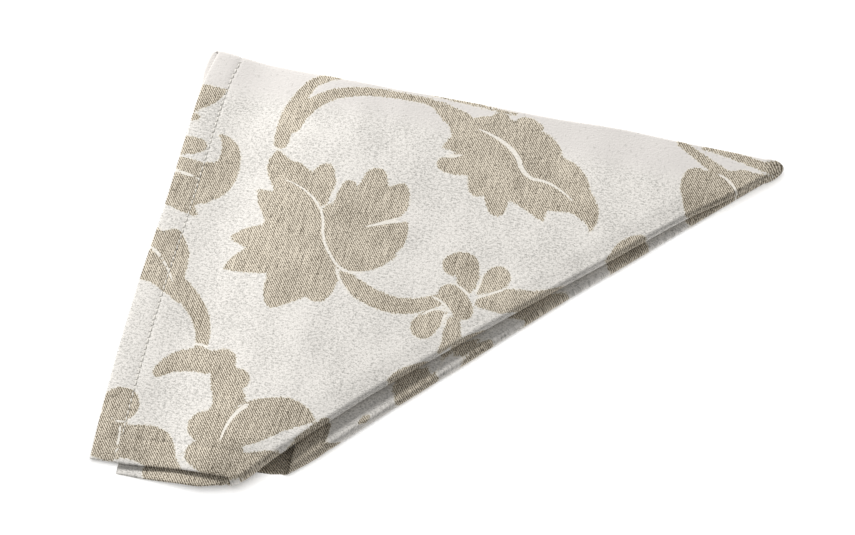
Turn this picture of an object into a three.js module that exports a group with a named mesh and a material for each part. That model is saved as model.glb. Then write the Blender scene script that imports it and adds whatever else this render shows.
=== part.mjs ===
// A hemmed cloth napkin folded to a wedge, in millimetres, +Z up, as one solid.
//
// The cloth is folded in half along its top fold, right side out. Both halves are then folded
// together round one point of that fold, the tip, into four wedges of two layers each, which
// lie as an upper and a lower bundle. So the cloth runs in one closed back-and-forth section
// round the tip, and ends in its hem all round.
//
// Plan places are measured across, from the corner of the top fold and the side hem towards
// the tip, and down, from the top fold towards the low hem.

import * as THREE from "three";

// The cloth
const THICK = 1.0;
const GAP = 0.33; // between two layers
const STEP = THICK + GAP;
const HEM_WIDTH = 13;
const HEM_EXTRA = 0.25; // a hem is this much thicker, on the cloth's wrong side
const HEM_ROOM = 0.32; // height that each hem takes up between two layers
const DROOP = [44, 5]; // past a hem the layer above sinks between these distances

// The wedge
const TIP_ACROSS = 289.5;
const WEDGE_ANGLE = THREE.MathUtils.degToRad(45);
const NOSE = 9; // the layers are pressed into one rounded nose over this distance from the tip
const NOSE_HEIGHT = 4;
const PINCH = 0.12; // share of the stack's height that is lost at the nose
const PINCH_END = 60;

// The mesh
const RUNS = [
  { to: 140, rings: 9 },
  { to: 160, rings: 3 },
];
const LAST_RUN = 13; // rings from there to the hem
const HEM_RINGS = [HEM_WIDTH + 1, HEM_WIDTH, HEM_WIDTH / 2, 0]; // distances from the hem's edge
const SHARES = [0, 0.25, 0.5, 0.7, 0.785, 0.87, 0.94, 1]; // from the top edge to the slanting one
const BEND_TURNS = [0.25, 0.5, 0.75]; // shares of a half turn, between two layers
const TRIES = 40; // halvings in the search for a hem

// The folds at the outline. tip is how far the line starts beyond the tip, steps is from the
// line to the middle of the bends that turn there, in steps between layers, and bow is how far
// inward of the straight line the fold lies, at places along it from the tip.
const FOLDS = {
  upperTop: {
    angle: 0,
    tip: 0,
    steps: 0.5,
    bow: [
      { at: 0, is: -0.4 },
      { at: 20, is: -0.4 },
      { at: 54, is: 0.4 },
      { at: 82, is: 0.2 },
      { at: 115, is: 1.9 },
      { at: 152, is: 2.5 },
      { at: 200, is: 4.2 },
      { at: 233, is: 3.5 },
      { at: 262, is: 1.0 },
      { at: 292, is: -1.2 },
    ],
  },
  upperSlant: {
    angle: WEDGE_ANGLE,
    tip: 0,
    steps: 1.5,
    bow: [
      { at: 0, is: -1.6 },
      { at: 35, is: -1.2 },
      { at: 56, is: 0.6 },
      { at: 100, is: 1.0 },
      { at: 160, is: 1.6 },
      { at: 230, is: 1.4 },
      { at: 260, is: -0.3 },
      { at: 290, is: -1.9 },
      { at: 309, is: -3.4 },
      { at: 318, is: -1.8 },
    ],
  },
  lowerTop: {
    angle: 0,
    tip: 1.5,
    steps: 2.5,
    bow: [
      { at: 0, is: -0.4 },
      { at: 30, is: 0.4 },
      { at: 110, is: 2.4 },
      { at: 200, is: 4.4 },
      { at: 232, is: 3.2 },
    ],
  },
  lowerSlant: {
    angle: WEDGE_ANGLE,
    tip: 1.5,
    steps: 1.5,
    bow: [
      { at: 0, is: 0.2 },
      { at: 60, is: -0.9 },
      { at: 100, is: -2.0 },
      { at: 135, is: -2.8 },
      { at: 170, is: -4.6 },
      { at: 200, is: -6.0 },
      { at: 250, is: -8.2 },
      { at: 290, is: -9.9 },
    ],
  },
};

// The hems. A side hem's rows give its place across at places down, a low hem's the other way.
const HEMS = {
  frontSide: [
    { at: -6, is: 2.4 },
    { at: 16, is: -1.2 },
    { at: 43, is: -1.8 },
    { at: 90, is: -1.6 },
    { at: 130, is: -2.4 },
    { at: 170, is: -2.1 },
    { at: 200, is: -1.0 },
    { at: 227, is: 0.7 },
  ],
  frontLow: [
    { at: -5, is: 226.5 },
    { at: 13, is: 225.7 },
    { at: 38, is: 223.4 },
    { at: 62, is: 222.9 },
    { at: 80, is: 222.2 },
  ],
  backSide: [
    { at: -6, is: -1.4 },
    { at: 9, is: -3.2 },
    { at: 22, is: -1.9 },
    { at: 120, is: 5.4 },
    { at: 231, is: 14.4 },
  ],
  backLow: [
    { at: 10, is: 230.2 },
    { at: 26, is: 230.0 },
    { at: 42, is: 229.4 },
    { at: 54, is: 229.0 },
    { at: 61, is: 227.4 },
    { at: 66, is: 224.8 },
    { at: 72, is: 221.4 },
  ],
  frontMiddle: [
    { at: 0, is: 62 },
    { at: 225, is: 66 },
  ],
  backMiddle: [
    { at: 0, is: 64.5 },
    { at: 225, is: 65 },
  ],
  frontFarLow: [
    { at: 60, is: 203.0 },
    { at: 95, is: 196.5 },
    { at: 110, is: 194.0 },
  ],
  backFarLow: [
    { at: 60, is: 214.4 },
    { at: 80, is: 214.0 },
    { at: 86, is: 213.4 },
    { at: 90, is: 212.3 },
    { at: 93, is: 210.6 },
    { at: 97, is: 207.4 },
  ],
  frontFar: [
    { at: 0, is: 101 },
    { at: 225, is: 105 },
  ],
  backFar: [
    { at: 0, is: 91 },
    { at: 225, is: 93.5 },
  ],
};

// The eight layers in the order in which the cloth runs round the tip. level counts up from the
// table, side and low are the hems that end the layer, and corner is the number of the share
// that runs to the corner between them.
const LAYERS = [
  { level: 8, top: "upperTop", slant: "upperSlant", side: "frontSide", low: "frontLow", corner: 4 },
  { level: 5, top: "lowerTop", slant: "upperSlant", side: "frontMiddle" },
  { level: 2, top: "lowerTop", slant: "lowerSlant", side: "backMiddle", low: "frontFarLow", corner: 5 },
  { level: 3, top: "lowerTop", slant: "lowerSlant", side: "frontFar" },
  { level: 4, top: "lowerTop", slant: "lowerSlant", side: "backFar" },
  { level: 1, top: "lowerTop", slant: "lowerSlant", side: "frontMiddle", low: "backFarLow", corner: 6 },
  { level: 6, top: "lowerTop", slant: "upperSlant", side: "backMiddle" },
  { level: 7, top: "upperTop", slant: "upperSlant", side: "backSide", low: "backLow", corner: 4 },
];

// Soft swells of the whole stack, rise being a share of its height.
const SWELLS = [
  { across: 205, down: 46, radius: 34, rise: 0.07 },
  { across: 118, down: 60, radius: 44, rise: 0.05 },
  { across: 118, down: 150, radius: 40, rise: 0.04 },
  { across: 86, down: 200, radius: 26, rise: 0.1 },
  { across: 30, down: 120, radius: 26, rise: 0.22 },
  { across: 8, down: 214, radius: 16, rise: 0.4 },
];

// Places where the layers from a level up stand off the ones below, rise in millimetres.
const LIFTS = [
  { level: 8, across: 52, down: 190, radius: 45, rise: 0.4 },
  { level: 7, across: 62, down: 200, radius: 34, rise: 0.3 },
];

// A smooth curve through a table's rows, level beyond its ends.
function curve(rows, at) {
  if (at <= rows[0].at) return rows[0].is;
  const last = rows.length - 1;
  if (at >= rows[last].at) return rows[last].is;
  const i = rows.findIndex((row) => row.at > at) - 1;
  const slope = (k) => {
    const a = rows[Math.max(k - 1, 0)];
    const b = rows[Math.min(k + 1, last)];
    return (b.is - a.is) / (b.at - a.at);
  };
  const span = rows[i + 1].at - rows[i].at;
  const t = (at - rows[i].at) / span;
  const ahead = t * t * (3 - 2 * t);
  return (
    rows[i].is * (1 - ahead) +
    rows[i + 1].is * ahead +
    slope(i) * span * t * (1 - t) ** 2 -
    slope(i + 1) * span * t * t * (1 - t)
  );
}

const mix = THREE.MathUtils.lerp;
const smooth = THREE.MathUtils.smoothstep;

// The inward direction of a fold line: down for the top fold, up and to the left for a slanting one.
function inwardOf(fold) {
  return fold.angle === 0
    ? new THREE.Vector2(0, 1)
    : new THREE.Vector2(-Math.sin(fold.angle), -Math.cos(fold.angle));
}

// The middle of a fold's bends, at a reach across from the tip.
function bendMiddle(fold, reach) {
  const [sin, cos] = [Math.sin(fold.angle), Math.cos(fold.angle)];
  let along = reach;
  let inset = 0;
  for (let i = 0; i < 4; i++) {
    along = (reach + fold.tip - sin * inset) / cos;
    inset = curve(fold.bow, along) + fold.steps * STEP;
  }
  return new THREE.Vector2(TIP_ACROSS + fold.tip, 0)
    .add(new THREE.Vector2(-cos, sin).multiplyScalar(along))
    .addScaledVector(inwardOf(fold), inset);
}

// The plan place in a layer at a share of the way from its top edge to its slanting edge.
function placeIn(layer, share, reach) {
  return bendMiddle(FOLDS[layer.top], reach).lerp(bendMiddle(FOLDS[layer.slant], reach), share);
}

const fromSide = (layer, place) => place.x - curve(HEMS[layer.side], place.y);
const fromLow = (layer, place) =>
  layer.low ? curve(HEMS[layer.low], place.x) - place.y : Infinity;
const fromHem = (layer, place) => Math.min(fromSide(layer, place), fromLow(layer, place));

// The value between low and high at which test stops being true.
function edgeOf(test, low, high) {
  for (let i = 0; i < TRIES; i++) {
    const middle = (low + high) / 2;
    if (test(middle)) low = middle;
    else high = middle;
  }
  return low;
}

// The reach at which a column of a layer comes within margin of the hem.
function reachTo(layer, share, margin) {
  return edgeOf((reach) => fromHem(layer, placeIn(layer, share, reach)) > margin, NOSE, 400);
}

// The share at which a column runs to the corner between the side hem and the low hem.
function cornerShare(layer) {
  return edgeOf(
    (share) => {
      const place = placeIn(layer, share, reachTo(layer, share, 0));
      return fromSide(layer, place) < fromLow(layer, place);
    },
    0,
    1,
  );
}

// The rise of a table's row at a place.
function mound({ across, down, radius, rise }, place) {
  const far = Math.hypot(place.x - across, place.y - down) / radius;
  return rise * Math.exp(-far * far);
}

// The height of a level's middle surface: one step for each layer below it, which it sinks over
// past that layer's hem, and room for the hems of each pair that lie with wrong sides facing.
function heightOf(level, place, reach) {
  let height = 0;
  for (const layer of LAYERS) {
    const inside = fromHem(layer, place);
    if (layer.level < level) height += STEP * smooth(inside, -DROOP[0], -DROOP[1]);
    const pairTop = layer.level + (layer.level % 2);
    if (pairTop <= level)
      height += HEM_ROOM * smooth(inside, -16, 0) * (1 - smooth(inside, HEM_WIDTH, HEM_WIDTH + 20));
  }
  for (const lift of LIFTS) if (lift.level <= level) height += mound(lift, place);
  let swell = 0;
  for (const row of SWELLS) swell += mound(row, place);
  const pinch = PINCH * (1 - smooth(reach, NOSE, PINCH_END));
  return THICK / 2 + height * (1 + swell - pinch);
}

// The reaches of a column's rings, from the nose to the hem.
function reachesOf(layer, share) {
  const hem = HEM_RINGS.map((margin) => reachTo(layer, share, margin));
  const reaches = [];
  let from = NOSE;
  for (const { to, rings } of [...RUNS, { to: hem[0], rings: LAST_RUN }]) {
    for (let ring = 0; ring < rings; ring++) reaches.push(mix(from, to, ring / rings));
    from = to;
  }
  return [...reaches, ...hem];
}

// The columns of points round the cloth's closed section, each one a list from nose to hem.
const columns = [];

function addLayer(layer, downward) {
  const shares = [...SHARES];
  if (layer.low) shares[layer.corner] = cornerShare(layer);
  if (!downward) shares.reverse();
  for (const share of shares)
    columns.push(
      reachesOf(layer, share).map((reach) => {
        const place = placeIn(layer, share, reach);
        return new THREE.Vector3(place.x, place.y, heightOf(layer.level, place, reach));
      }),
    );
}

function addBend(from, to, fold, share) {
  const fromReaches = reachesOf(from, share);
  const toReaches = reachesOf(to, share);
  for (const turn of BEND_TURNS)
    columns.push(
      fromReaches.map((fromReach, ring) => {
        const reach = mix(fromReach, toReaches[ring], turn);
        const middle = bendMiddle(fold, reach);
        const start = heightOf(from.level, middle, reach);
        const end = heightOf(to.level, middle, reach);
        const radius = Math.abs(start - end) / 2;
        const place = middle.addScaledVector(inwardOf(fold), -radius * Math.sin(turn * Math.PI));
        const height = mix(start, end, (1 - Math.cos(turn * Math.PI)) / 2);
        return new THREE.Vector3(place.x, place.y, height);
      }),
    );
}

LAYERS.forEach((layer, i) => {
  const downward = i % 2 === 0;
  const next = LAYERS[(i + 1) % LAYERS.length];
  addLayer(layer, downward);
  addBend(layer, next, FOLDS[downward ? layer.slant : layer.top], downward ? 1 : 0);
});

// The plan turned to X right and Y up the table, so that a right-handed frame results.
for (const column of columns) for (const point of column) point.y = -point.y;

const COUNT = columns.length;
const LAST_RING = columns[0].length - 1;
const at = (column, ring) => columns[(column + COUNT) % COUNT][ring];

// The direction out of the cloth's right side at a point of its middle surface.
function outward(column, ring) {
  const around = at(column + 1, ring).clone().sub(at(column - 1, ring));
  const away = at(column, Math.min(ring + 1, LAST_RING))
    .clone()
    .sub(at(column, Math.max(ring - 1, 0)));
  return away.cross(around).normalize();
}

const rightSide = [];
const wrongSide = [];
for (let column = 0; column < COUNT; column++) {
  rightSide.push([]);
  wrongSide.push([]);
  for (let ring = 0; ring <= LAST_RING; ring++) {
    const out = outward(column, ring);
    const extra = ring > LAST_RING - HEM_RINGS.length + 1 ? HEM_EXTRA : 0;
    rightSide[column].push(at(column, ring).clone().addScaledVector(out, THICK / 2));
    wrongSide[column].push(at(column, ring).clone().addScaledVector(out, -THICK / 2 - extra));
  }
}

// The solid's surface
const corners = [];
const face = (...points) => points.forEach((point) => corners.push(point.x, point.y, point.z));
const quad = (a, b, c, d) => {
  face(a, b, c);
  face(a, c, d);
};

for (let column = 0; column < COUNT; column++) {
  const next = (column + 1) % COUNT;
  for (let ring = 0; ring < LAST_RING; ring++) {
    quad(rightSide[column][ring], rightSide[column][ring + 1],
      rightSide[next][ring + 1], rightSide[next][ring]);
    quad(wrongSide[column][ring], wrongSide[next][ring],
      wrongSide[next][ring + 1], wrongSide[column][ring + 1]);
  }
  quad(
    rightSide[column][LAST_RING],
    wrongSide[column][LAST_RING],
    wrongSide[next][LAST_RING],
    rightSide[next][LAST_RING],
  );
}

// The nose: the outer section shrinks to a rounded end, and the inside of the half fold stops
// at a strip between the front half's columns and those of the back half that face them.
const noseStart = new THREE.Vector3();
for (const column of rightSide) noseStart.addScaledVector(column[0], 1 / COUNT);
const noseEnd = new THREE.Vector3(TIP_ACROSS + 0.8, 0, NOSE_HEIGHT);
const NOSE_RINGS = [
  { ahead: 0, scale: 1 },
  { ahead: 0.4, scale: 0.84 },
  { ahead: 0.78, scale: 0.55 },
  { ahead: 1, scale: 0 },
];
const noseRings = NOSE_RINGS.map(({ ahead, scale }) =>
  rightSide.map((column) =>
    column[0].clone().sub(noseStart).multiplyScalar(scale).add(noseStart.clone().lerp(noseEnd, ahead)),
  ),
);
for (let ring = 0; ring < NOSE_RINGS.length - 1; ring++)
  for (let column = 0; column < COUNT; column++) {
    const next = (column + 1) % COUNT;
    const [near, far] = [noseRings[ring], noseRings[ring + 1]];
    face(near[column], near[next], far[next]);
    if (NOSE_RINGS[ring + 1].scale > 0) face(near[column], far[next], far[column]);
  }

const BACK_END = COUNT - BEND_TURNS.length - 1;
const FOLD_MIDDLE = (BEND_TURNS.length + 1) / 2;
const inner = (column) => wrongSide[(column + COUNT) % COUNT][0];
for (let column = -FOLD_MIDDLE; column < BACK_END / 2; column++) {
  const [a, b] = [inner(column), inner(column + 1)];
  const [c, d] = [inner(BACK_END - column - 1), inner(BACK_END - column)];
  if (b !== c) face(a, c, b);
  if (a !== d) face(a, d, c);
}

const geometry = new THREE.BufferGeometry();
geometry.setAttribute("position", new THREE.Float32BufferAttribute(corners, 3));
geometry.computeVertexNormals();
geometry.computeBoundingBox();
const middle = geometry.boundingBox.getCenter(new THREE.Vector3());
geometry.translate(-middle.x, -middle.y, -geometry.boundingBox.min.z);

const linen = new THREE.MeshStandardMaterial({ color: 0xd8d2c6, roughness: 0.92, metalness: 0 });
const napkin = new THREE.Mesh(geometry, linen);
napkin.name = "napkin";

const root = new THREE.Group();
root.name = "folded_napkin";
root.add(napkin);

export default root;
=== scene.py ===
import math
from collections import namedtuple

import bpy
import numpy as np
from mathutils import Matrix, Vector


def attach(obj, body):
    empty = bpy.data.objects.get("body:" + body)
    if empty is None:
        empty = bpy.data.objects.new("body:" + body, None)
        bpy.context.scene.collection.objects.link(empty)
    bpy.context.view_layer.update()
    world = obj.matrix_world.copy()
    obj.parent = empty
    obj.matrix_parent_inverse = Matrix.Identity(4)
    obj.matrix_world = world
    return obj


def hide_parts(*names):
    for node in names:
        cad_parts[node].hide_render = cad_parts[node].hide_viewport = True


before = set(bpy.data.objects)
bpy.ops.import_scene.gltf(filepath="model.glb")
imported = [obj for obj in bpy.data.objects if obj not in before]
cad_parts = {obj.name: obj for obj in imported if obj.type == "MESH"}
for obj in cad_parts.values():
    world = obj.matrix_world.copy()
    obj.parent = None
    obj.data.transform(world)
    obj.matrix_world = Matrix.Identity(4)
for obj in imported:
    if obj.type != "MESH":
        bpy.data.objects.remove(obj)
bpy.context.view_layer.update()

# A hemmed jacquard napkin, folded in half along its top fold and then round the tip of that fold
# into four wedges of two layers each. All sizes are in metres.
#
# Plan places are measured across, from the corner of the top fold and the side hem towards the
# tip, and down, from the top fold towards the low hem.

# The cloth
THICK = 0.001
GAP = 0.00033  # between two layers
STEP = THICK + GAP
HEM_WIDTH = 0.013
HEM_EXTRA = 0.00025  # a hem is this much thicker, on the cloth's wrong side
HEM_ROOM = 0.00032  # height that each hem takes up between two layers
DROOP = (0.044, 0.005)  # past a hem the layer above sinks between these distances
HEM_ROOM_BEFORE = 0.016  # that room grows over this distance outside the hem's edge
HEM_ROOM_AFTER = 0.020  # and ends over this one past the hem's inner side
HEM_END = (HEM_WIDTH - 0.0008, HEM_WIDTH + 0.0004)  # the extra thickness ends between these
EDGE_ROUND = 0.0006  # the hem's folded edge is rounded over this distance
EDGE_LEFT = 0.3  # share of the half thickness that is left at the edge itself

# The wedge
TIP_ACROSS = 0.2895
WEDGE_ANGLE = math.radians(45)
NOSE = 0.009  # the layers are pressed into one rounded nose over this distance from the tip
NOSE_END = (0.2903, 0.0, 0.004)
PINCH = 0.12  # share of the stack's height that is lost at the nose
PINCH_END = 0.060
SAG = 0.09  # share of the height that is lost at the slanting fold
SAG_WIDTH = 0.013
PLAN_MIDDLE = (0.1439341, 0.1139064)  # the plan place over the frame's origin

# The mesh
LONG_RINGS = 172
HEM_RINGS = [0.0165, 0.0152, 0.0142, 0.0134, 0.0128, 0.0121, 0.0112, 0.0090, 0.0060, 0.0035,
             0.0016, 0.0007, 0.0002, 0.0]  # distances from the hem's edge
BEND_COLUMNS = 6
TRIES = 36  # halvings in the search for a hem
LOW_HEM_START = 0.512  # places along the low hems are counted from here
FAR_REACH = 0.4  # further from the tip than any hem
FAR = 1.0  # the distance to a hem or vein that isn't there
DEEP_INSIDE = 0.2  # the distance from the hems that the tip is given

# The folds at the outline. tip is how far the line starts beyond the tip, steps is from the line
# to the middle of the bends that turn there, in steps between layers, and bow gives how far
# inward of the straight line the fold lies, at places along it from the tip.
Fold = namedtuple("Fold", "angle tip steps bow")
FOLDS = {
    "upper top": Fold(0, 0, 0.5, [
        (0, -0.0004), (0.020, -0.0004), (0.054, 0.0004), (0.082, 0.0002), (0.115, 0.0019),
        (0.152, 0.0025), (0.200, 0.0042), (0.233, 0.0035), (0.262, 0.0010), (0.292, -0.0012)]),
    "upper slant": Fold(WEDGE_ANGLE, 0, 1.5, [
        (0, -0.0016), (0.035, -0.0012), (0.056, 0.0006), (0.100, 0.0010), (0.160, 0.0016),
        (0.230, 0.0014), (0.260, -0.0003), (0.290, -0.0019), (0.309, -0.0034), (0.318, -0.0018)]),
    "lower top": Fold(0, 1.5 * 0.001, 2.5, [
        (0, -0.0004), (0.030, 0.0004), (0.110, 0.0024), (0.200, 0.0044), (0.232, 0.0032)]),
    "lower slant": Fold(WEDGE_ANGLE, 1.5 * 0.001, 1.5, [
        (0, 0.0002), (0.060, -0.0009), (0.100, -0.0020), (0.135, -0.0028), (0.170, -0.0046),
        (0.200, -0.0060), (0.250, -0.0082), (0.290, -0.0099)]),
}

# The hems. A side hem's rows give its place across at places down, a low hem's the other way.
HEMS = {
    "front side": [(-0.006, 0.0024), (0.016, -0.0012), (0.043, -0.0018), (0.090, -0.0016),
                   (0.130, -0.0024), (0.170, -0.0021), (0.200, -0.0010), (0.227, 0.0007)],
    "front low": [(-0.005, 0.2265), (0.013, 0.2257), (0.038, 0.2234), (0.062, 0.2229),
                  (0.080, 0.2222)],
    "back side": [(-0.006, -0.0014), (0.009, -0.0032), (0.022, -0.0019), (0.120, 0.0054),
                  (0.231, 0.0144)],
    "back low": [(0.010, 0.2302), (0.026, 0.2300), (0.042, 0.2294), (0.054, 0.2290),
                 (0.061, 0.2274), (0.066, 0.2248), (0.072, 0.2214)],
    "front middle": [(0, 0.062), (0.225, 0.066)],
    "back middle": [(0, 0.0645), (0.225, 0.065)],
    "front far low": [(0.060, 0.2030), (0.095, 0.1965), (0.110, 0.1940)],
    "back far low": [(0.060, 0.2144), (0.080, 0.2140), (0.086, 0.2134), (0.090, 0.2123),
                     (0.093, 0.2106), (0.097, 0.2074)],
    "front far": [(0, 0.101), (0.225, 0.105)],
    "back far": [(0, 0.091), (0.225, 0.0935)],
}

# The eight layers in the order in which the cloth runs round the tip. level counts up from the
# table. An outer wedge lies as the cloth was cut, and an inner one is turned over at the slant.
# side and low are the hems that end the layer, and right and wrong are the numbers of columns on
# the cloth's two sides.
Layer = namedtuple("Layer", "level outer top slant side low right wrong")
LAYERS = [
    Layer(8, True, "upper top", "upper slant", "front side", "front low", 128, 26),
    Layer(5, False, "lower top", "upper slant", "front middle", None, 10, 8),
    Layer(2, False, "lower top", "lower slant", "back middle", "front far low", 10, 10),
    Layer(3, True, "lower top", "lower slant", "front far", None, 10, 8),
    Layer(4, True, "lower top", "lower slant", "back far", None, 22, 8),
    Layer(1, False, "lower top", "lower slant", "front middle", "back far low", 60, 20),
    Layer(6, False, "lower top", "upper slant", "back middle", None, 10, 8),
    Layer(7, True, "upper top", "upper slant", "back side", "back low", 30, 50),
]

# Soft swells of the whole stack, rise being a share of its height, and places where the layers
# from a level up stand off the ones below.
Mound = namedtuple("Mound", "across down radius rise")
SWELLS = [
    Mound(0.205, 0.046, 0.034, 0.07),
    Mound(0.118, 0.060, 0.044, 0.05),
    Mound(0.118, 0.150, 0.040, 0.04),
    Mound(0.086, 0.200, 0.026, 0.10),
    Mound(0.030, 0.120, 0.026, 0.22),
    Mound(0.008, 0.214, 0.016, 0.40),
]
LIFTS = [
    (8, Mound(0.052, 0.190, 0.045, 0.0004)),
    (7, Mound(0.062, 0.200, 0.034, 0.0003)),
]


def curve(rows, at):
    """A smooth curve through a table's rows, level beyond its ends."""
    ats, values = np.array(rows, dtype=float).T
    slopes = np.empty_like(values)
    slopes[1:-1] = (values[2:] - values[:-2]) / (ats[2:] - ats[:-2])
    slopes[0] = (values[1] - values[0]) / (ats[1] - ats[0])
    slopes[-1] = (values[-1] - values[-2]) / (ats[-1] - ats[-2])
    row = np.clip(np.searchsorted(ats, at, side="right") - 1, 0, len(ats) - 2)
    span = ats[row + 1] - ats[row]
    t = np.clip((at - ats[row]) / span, 0, 1)
    ahead = t * t * (3 - 2 * t)
    return (values[row] * (1 - ahead) + values[row + 1] * ahead
            + slopes[row] * span * t * (1 - t) ** 2
            - slopes[row + 1] * span * t * t * (1 - t))


def mix(a, b, share):
    return a + (b - a) * share


def smooth(value, low, high):
    t = np.clip((value - low) / (high - low), 0, 1)
    return t * t * (3 - 2 * t)


def inward_of(fold):
    """The inward direction of a fold line, across and down."""
    return (0.0, 1.0) if fold.angle == 0 else (-math.sin(fold.angle), -math.cos(fold.angle))


def bend_middle(fold, reach):
    """The middle of a fold's bends, at a reach across from the tip."""
    sin, cos = math.sin(fold.angle), math.cos(fold.angle)
    inset = np.zeros_like(reach)
    for _ in range(4):
        along = (reach + fold.tip - sin * inset) / cos
        inset = curve(fold.bow, along) + fold.steps * STEP
    inward = inward_of(fold)
    return (TIP_ACROSS + fold.tip - cos * along + inward[0] * inset,
            sin * along + inward[1] * inset)


def place_in(layer, share, reach):
    """The plan place in a layer, at a share of the way from its top edge to its slanting one."""
    top = bend_middle(FOLDS[layer.top], reach)
    slant = bend_middle(FOLDS[layer.slant], reach)
    return mix(top[0], slant[0], share), mix(top[1], slant[1], share)


def from_side(layer, across, down):
    return across - curve(HEMS[layer.side], down)


def from_low(layer, across, down):
    if layer.low is None:
        return np.full_like(across, FAR)
    return curve(HEMS[layer.low], across) - down


def from_hem(layer, across, down):
    return np.minimum(from_side(layer, across, down), from_low(layer, across, down))


def along_hem(layer, across, down):
    """The place along the nearer hem, which for a low hem starts at LOW_HEM_START."""
    side_is_near = from_side(layer, across, down) < from_low(layer, across, down)
    return np.where(side_is_near, down, across + LOW_HEM_START)


def reach_to(layer, share, margin):
    """The reach at which columns of a layer come within a margin of the hem."""
    low = np.full_like(share, NOSE)
    high = np.full_like(share, FAR_REACH)
    for _ in range(TRIES):
        middle = (low + high) / 2
        inside = from_hem(layer, *place_in(layer, share, middle)) > margin
        low = np.where(inside, middle, low)
        high = np.where(inside, high, middle)
    return low


def corner_share(layer):
    """The share of the column that runs to the corner between the side hem and the low hem."""
    low, high = 0.0, 1.0
    for _ in range(TRIES):
        share = np.array([(low + high) / 2])
        place = place_in(layer, share, reach_to(layer, share, 0.0))
        if from_side(layer, *place)[0] < from_low(layer, *place)[0]:
            low = share[0]
        else:
            high = share[0]
    return low


def mound(row, across, down):
    far = np.hypot(across - row.across, down - row.down) / row.radius
    return row.rise * np.exp(-far * far)


def height_of(level, across, down, reach):
    """The height of a level's middle surface: one step for each layer below it, which it sinks
    over past that layer's hem, and room for the hems of each pair with wrong sides facing."""
    height = np.zeros_like(across)
    for layer in LAYERS:
        inside = from_hem(layer, across, down)
        if layer.level < level:
            height += STEP * smooth(inside, -DROOP[0], -DROOP[1])
        if layer.level + layer.level % 2 <= level:
            grown = smooth(inside, -HEM_ROOM_BEFORE, 0)
            ended = smooth(inside, HEM_WIDTH, HEM_WIDTH + HEM_ROOM_AFTER)
            height += HEM_ROOM * (grown * (1 - ended))
    for lowest, row in LIFTS:
        if lowest <= level:
            height += mound(row, across, down)
    swell = sum(mound(row, across, down) for row in SWELLS)
    pinch = PINCH * (1 - smooth(reach, NOSE, PINCH_END))
    to_slant = (TIP_ACROSS - across - down) / math.sqrt(2)
    sag = SAG * (1 - smooth(to_slant, 0, SAG_WIDTH)) * smooth(reach, NOSE, PINCH_END)
    return THICK / 2 + height * (1 + swell - pinch - sag)


def flat_place(layer, across, down):
    """Where a plan place lies on the cloth, spread out and turned so that all wedges agree."""
    return (across, down) if layer.outer else (TIP_ACROSS - down, TIP_ACROSS - across)


# The columns of points that run from the nose to the hem, round the cloth's closed section.
# order rises round the section, margin is the distance from the hem's edge, and along is the
# place along the nearest hem.
Columns = namedtuple("Columns", "order across down height flat_across flat_down margin along")
TURN = 2.0 * len(LAYERS)  # the order gained once round


def shares_of(layer, count):
    if layer.low is None:
        return np.linspace(0, 1, count)
    corner = corner_share(layer)
    before = round(corner * (count - 1))
    return np.concatenate([np.linspace(0, corner, before + 1),
                           np.linspace(corner, 1, count - before)[1:]])


def reaches_of(layer, shares):
    """The reaches of each column's rings."""
    hems = [reach_to(layer, shares, margin) for margin in HEM_RINGS]
    steps = np.arange(LONG_RINGS) / LONG_RINGS
    long_run = NOSE + np.outer(hems[0] - NOSE, steps)
    return np.concatenate([long_run, np.stack(hems, axis=1)], axis=1)


def layer_columns(layer, count, start, downward):
    shares = shares_of(layer, count)
    if not downward:
        shares = shares[::-1]
    reach = reaches_of(layer, shares)
    across, down = place_in(layer, shares[:, None], reach)
    height = height_of(layer.level, across, down, reach)
    order = start + (shares if downward else 1 - shares)
    return Columns(order, across, down, height, *flat_place(layer, across, down),
                   from_hem(layer, across, down), along_hem(layer, across, down))


def bend_columns(before, after, fold, share, start):
    """The columns of the bend from one layer to the next."""
    turns = (np.arange(BEND_COLUMNS) + 1) / (BEND_COLUMNS + 1)
    first = reaches_of(before, np.array([float(share)]))
    second = reaches_of(after, np.array([float(share)]))
    reach = mix(first, second, turns[:, None])
    across, down = bend_middle(fold, reach)
    low = height_of(before.level, across, down, reach)
    high = height_of(after.level, across, down, reach)
    angle = turns[:, None] * math.pi
    bulge = np.abs(low - high) / 2 * np.sin(angle)
    height = mix(low, high, (1 - np.cos(angle)) / 2)
    old_place = place_in(before, float(share), first)
    new_place = place_in(after, float(share), second)
    margin = mix(from_hem(before, *old_place), from_hem(after, *new_place), turns[:, None])
    along = mix(along_hem(before, *old_place), along_hem(after, *new_place), turns[:, None])
    inward = inward_of(fold)
    out_across, out_down = across - inward[0] * bulge, down - inward[1] * bulge
    if before.outer == after.outer:
        flat_across, flat_down = flat_place(before, out_across, out_down)
    else:
        old_flat = flat_place(before, across, down)
        new_flat = flat_place(after, across, down)
        flat_across = mix(old_flat[0], new_flat[0], turns[:, None]) + out_across - across
        flat_down = mix(old_flat[1], new_flat[1], turns[:, None]) + out_down - down
    return Columns(start + turns, out_across, out_down, height,
                   flat_across, flat_down, margin, along)


def section(side):
    """All columns of one side of the cloth, in order round the section."""
    parts = []
    for number, layer in enumerate(LAYERS):
        downward = number % 2 == 0
        after = LAYERS[(number + 1) % len(LAYERS)]
        parts.append(layer_columns(layer, getattr(layer, side), 2 * number, downward))
        fold = FOLDS[layer.slant if downward else layer.top]
        parts.append(bend_columns(layer, after, fold, 1 if downward else 0, 2 * number + 1))
    return Columns(*(np.concatenate(rows) for rows in zip(*parts)))


def points_of(columns):
    """The middle surface in the frame's own axes."""
    return np.stack([columns.across - PLAN_MIDDLE[0], PLAN_MIDDLE[1] - columns.down,
                     columns.height], axis=-1)


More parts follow.
